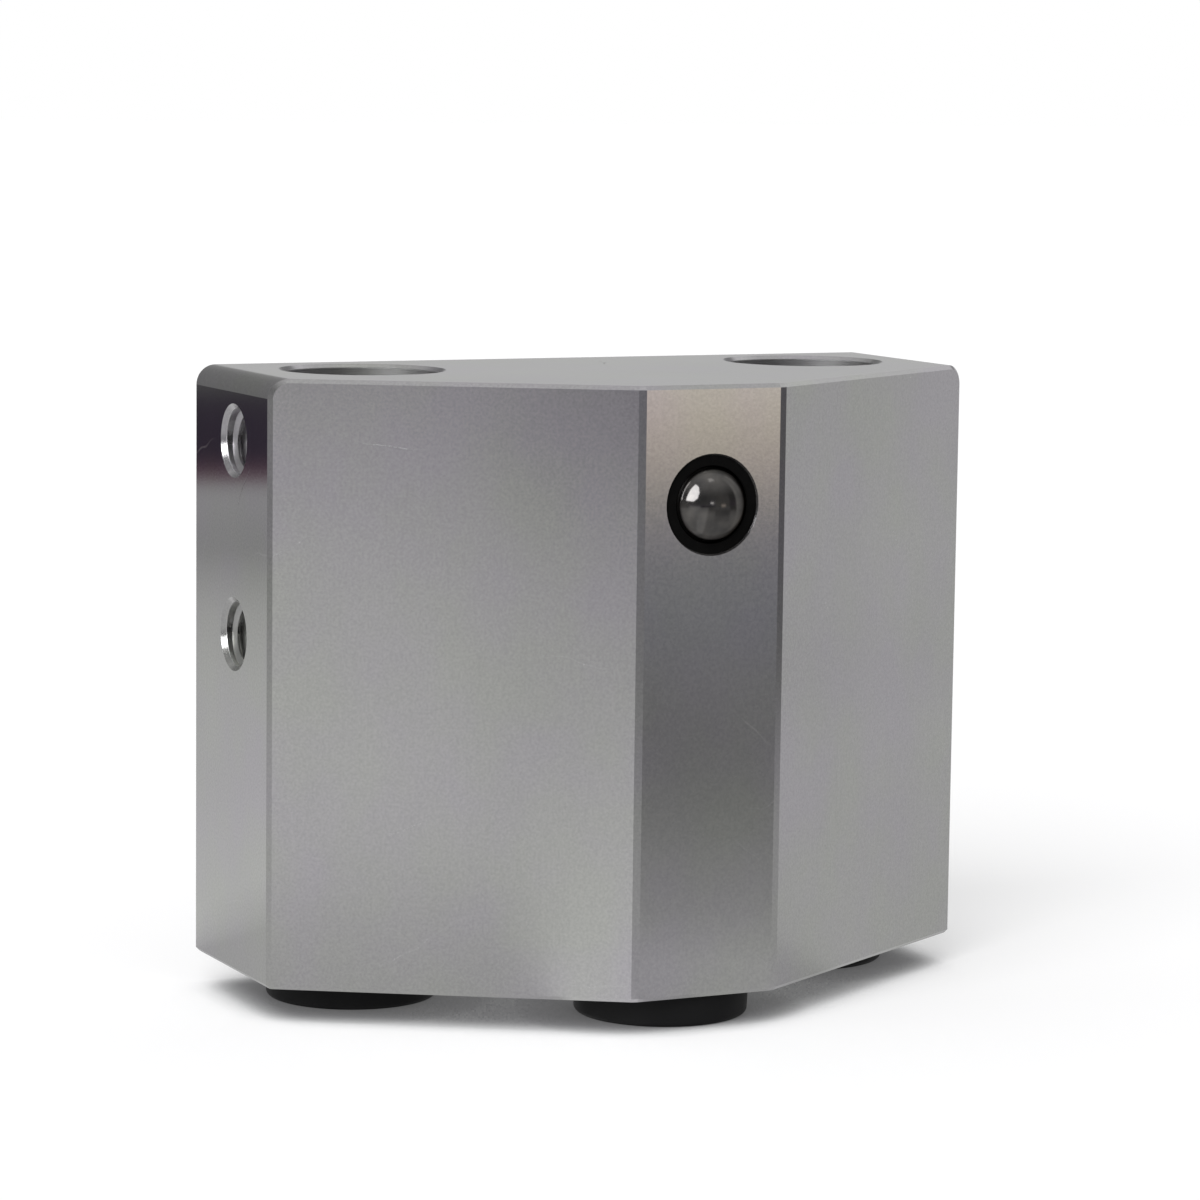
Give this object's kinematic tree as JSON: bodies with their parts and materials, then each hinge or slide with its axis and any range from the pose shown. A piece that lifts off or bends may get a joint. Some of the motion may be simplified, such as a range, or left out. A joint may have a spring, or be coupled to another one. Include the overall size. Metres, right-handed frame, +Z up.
{
  "type": "machined aluminium rod block",
  "caption": "Faceted machined aluminium block with rod bores in its top, side clamp screw holes, a sprung ball in its nose and rubber feet.",
  "frame": {"origin": "on the floor, under the middle of the whole part's box, ball included", "axes": "+X to the right along the block's width, +Y from the nose to the long back face, +Z up out of the rod bores"},
  "size_m": [0.096, 0.053, 0.079],
  "materials": {
    "block_aluminium": "fine milled, satin",
    "blackened_steel": "black oxide",
    "spring_steel": "drawn wire",
    "ball_steel": "polished",
    "foot_rubber": "moulded, matt",
    "fastener_steel": "zinc plated"
  },
  "bodies": {
    "base": {"block": "block_aluminium", "plunger_body": "blackened_steel", "plunger_spring": "spring_steel", "foot_front": "foot_rubber", "foot_rear_left": "foot_rubber", "foot_rear_right": "foot_rubber", "foot_washer_front": "fastener_steel", "foot_washer_rear_left": "fastener_steel", "foot_washer_rear_right": "fastener_steel", "foot_screw_front": "fastener_steel", "foot_screw_rear_left": "fastener_steel", "foot_screw_rear_right": "fastener_steel"},
    "ball": {"plunger_ball": "ball_steel"}
  },
  "joints": [
    {"name": "ball_press", "type": "slide", "parent": "base", "child": "ball", "axis": [0, 1, 0], "range_m": [0, 0.003], "stiffness_N_per_m": 1500, "springref_m": -0.004, "deforming": ["plunger_spring"]}
  ]
}
